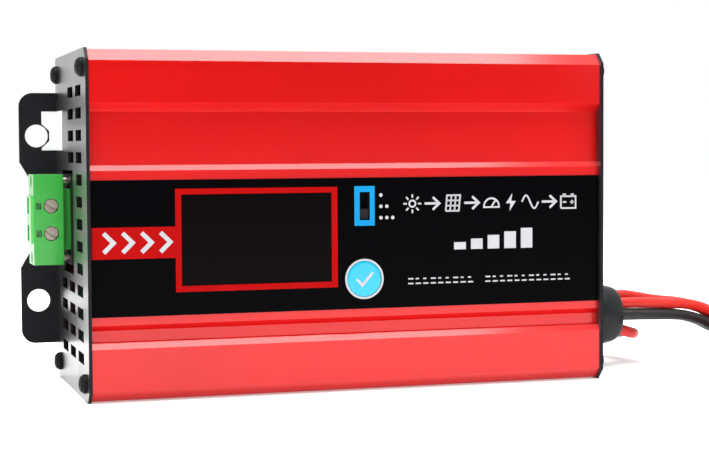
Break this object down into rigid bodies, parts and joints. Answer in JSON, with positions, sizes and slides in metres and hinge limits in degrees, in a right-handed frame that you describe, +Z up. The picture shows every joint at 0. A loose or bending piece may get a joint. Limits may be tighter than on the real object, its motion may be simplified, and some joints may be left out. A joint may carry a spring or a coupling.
{
  "type": "solar charge controller",
  "caption": "Boost charge controller in a split aluminium extrusion with eared end plates, display, button, selector, plug-in terminal and cable gland with leads.",
  "frame": {"origin": "middle of the housing at the level of its lower edge, without the gland and the leads", "axes": "+X along the housing towards the gland, +Y from the display face to the back, +Z up"},
  "size_m": [0.2454, 0.1131, 0.093],
  "materials": {
    "red_anodised": "satin red anodising",
    "black_steel": "satin black paint",
    "black_screws": "black zinc",
    "black_film": "gloss printed film",
    "smoked_window": "smoked, clear and glossy",
    "display_glass": "display glass in a frame",
    "circuit_board": "green solder resist",
    "ribbon": "grey ribbon",
    "blue_cap": "gloss, white ring",
    "black_switch": "matte",
    "green_plastic": "satin moulded",
    "tinned_metal": "tinned",
    "plated_screws": "nickel plated",
    "choke_core": "painted powder core",
    "copper_wire": "enamelled copper",
    "capacitor_sleeve": "shrink sleeve",
    "transistor_black": "moulded epoxy",
    "thermal_pad": "silicone pad",
    "bare_aluminium": "mill finish",
    "fuse_amber": "clear amber",
    "shunt_grey": "metal strip",
    "gland_black": "satin nylon",
    "seal_rubber": "matte",
    "red_insulation": "silicone, slight sheen",
    "black_insulation": "silicone, slight sheen",
    "white_sticker": "paper"
  },
  "bodies": {
    "housing": {"shell_front": "red_anodised", "shell_rear": "red_anodised", "end_plate_left": "black_steel", "end_plate_right": "black_steel", "plate_screws_left": "black_screws", "plate_screws_right": "black_screws", "front_label": "black_film", "display_window": "smoked_window", "lcd_module": "display_glass", "display_board": "circuit_board", "display_ribbon": "ribbon", "button_switch": "black_switch", "selector_switch": "black_switch", "main_board": "circuit_board", "terminal_header": "black_switch", "header_pins": "tinned_metal", "choke_core_1": "choke_core", "choke_core_2": "choke_core", "choke_winding_1": "copper_wire", "choke_winding_2": "copper_wire", "input_capacitors": "capacitor_sleeve", "output_capacitors": "capacitor_sleeve", "power_transistors": "transistor_black", "transistor_pads": "thermal_pad", "heat_bar": "bare_aluminium", "transistor_screws": "plated_screws", "fuses": "fuse_amber", "control_chip": "transistor_black", "current_shunts": "shunt_grey", "solder_posts": "tinned_metal", "gland_body": "gland_black", "gland_locknut": "gland_black", "gland_seal": "seal_rubber", "gland_nut": "gland_black", "inner_leads": "red_insulation", "ear_sticker": "white_sticker", "lead_red_1": "red_insulation", "lead_red_2": "red_insulation", "lead_red_3": "red_insulation", "lead_black_1": "black_insulation", "lead_black_2": "black_insulation", "lead_black_3": "black_insulation", "lead_coil_right": "red_insulation", "lead_coil_rear": "red_insulation"},
    "button": {"set_button": "blue_cap"},
    "slider": {"selector_slider": "black_switch"},
    "plug": {"terminal_plug": "green_plastic", "plug_sockets": "tinned_metal"},
    "clamp_1": {"wire_clamp_1": "tinned_metal"},
    "clamp_2": {"wire_clamp_2": "tinned_metal"},
    "clamp_screw_1": {"clamp_screw_1": "plated_screws"},
    "clamp_screw_2": {"clamp_screw_2": "plated_screws"},
    "flange_screw_1": {"flange_screw_1": "plated_screws"},
    "flange_screw_2": {"flange_screw_2": "plated_screws"}
  },
  "joints": [
    {"name": "button_press", "type": "slide", "parent": "housing", "child": "button", "axis": [0, 1, 0], "range_m": [0, 0.0005], "stiffness_N_per_m": 600},
    {"name": "selector_slide", "type": "slide", "parent": "housing", "child": "slider", "axis": [0, 0, 1], "range_m": [0, 0.0042]},
    {"name": "plug_pull", "type": "slide", "parent": "housing", "child": "plug", "axis": [-1, 0, 0], "range_m": [0, 0.014]},
    {"name": "clamp_screw_1_turn", "type": "hinge", "parent": "plug", "child": "clamp_screw_1", "pos_m": [-0.07825, 0.003, 0.04329], "axis": [0, 1, 0], "range_deg": [0, 1260]},
    {"name": "clamp_1_lift", "type": "slide", "parent": "plug", "child": "clamp_1", "axis": [0, -1, 0], "range_m": [0, 0.00175]},
    {"name": "clamp_screw_2_turn", "type": "hinge", "parent": "plug", "child": "clamp_screw_2", "pos_m": [-0.07825, 0.003, 0.05091], "axis": [0, 1, 0], "range_deg": [0, 1260]},
    {"name": "clamp_2_lift", "type": "slide", "parent": "plug", "child": "clamp_2", "axis": [0, -1, 0], "range_m": [0, 0.00175]},
    {"name": "flange_screw_1_turn", "type": "hinge", "parent": "plug", "child": "flange_screw_1", "pos_m": [-0.08315, 0.0085, 0.0365], "axis": [1, 0, 0], "range_deg": [-1080, 0]},
    {"name": "flange_screw_2_turn", "type": "hinge", "parent": "plug", "child": "flange_screw_2", "pos_m": [-0.08315, 0.0085, 0.0577], "axis": [1, 0, 0], "range_deg": [-1080, 0]}
  ],
  "couplings": [
    {"joint": "clamp_screw_1_turn", "follows": "clamp_1_lift", "rad_per_m": 12566},
    {"joint": "clamp_screw_2_turn", "follows": "clamp_2_lift", "rad_per_m": 12566}
  ]
}
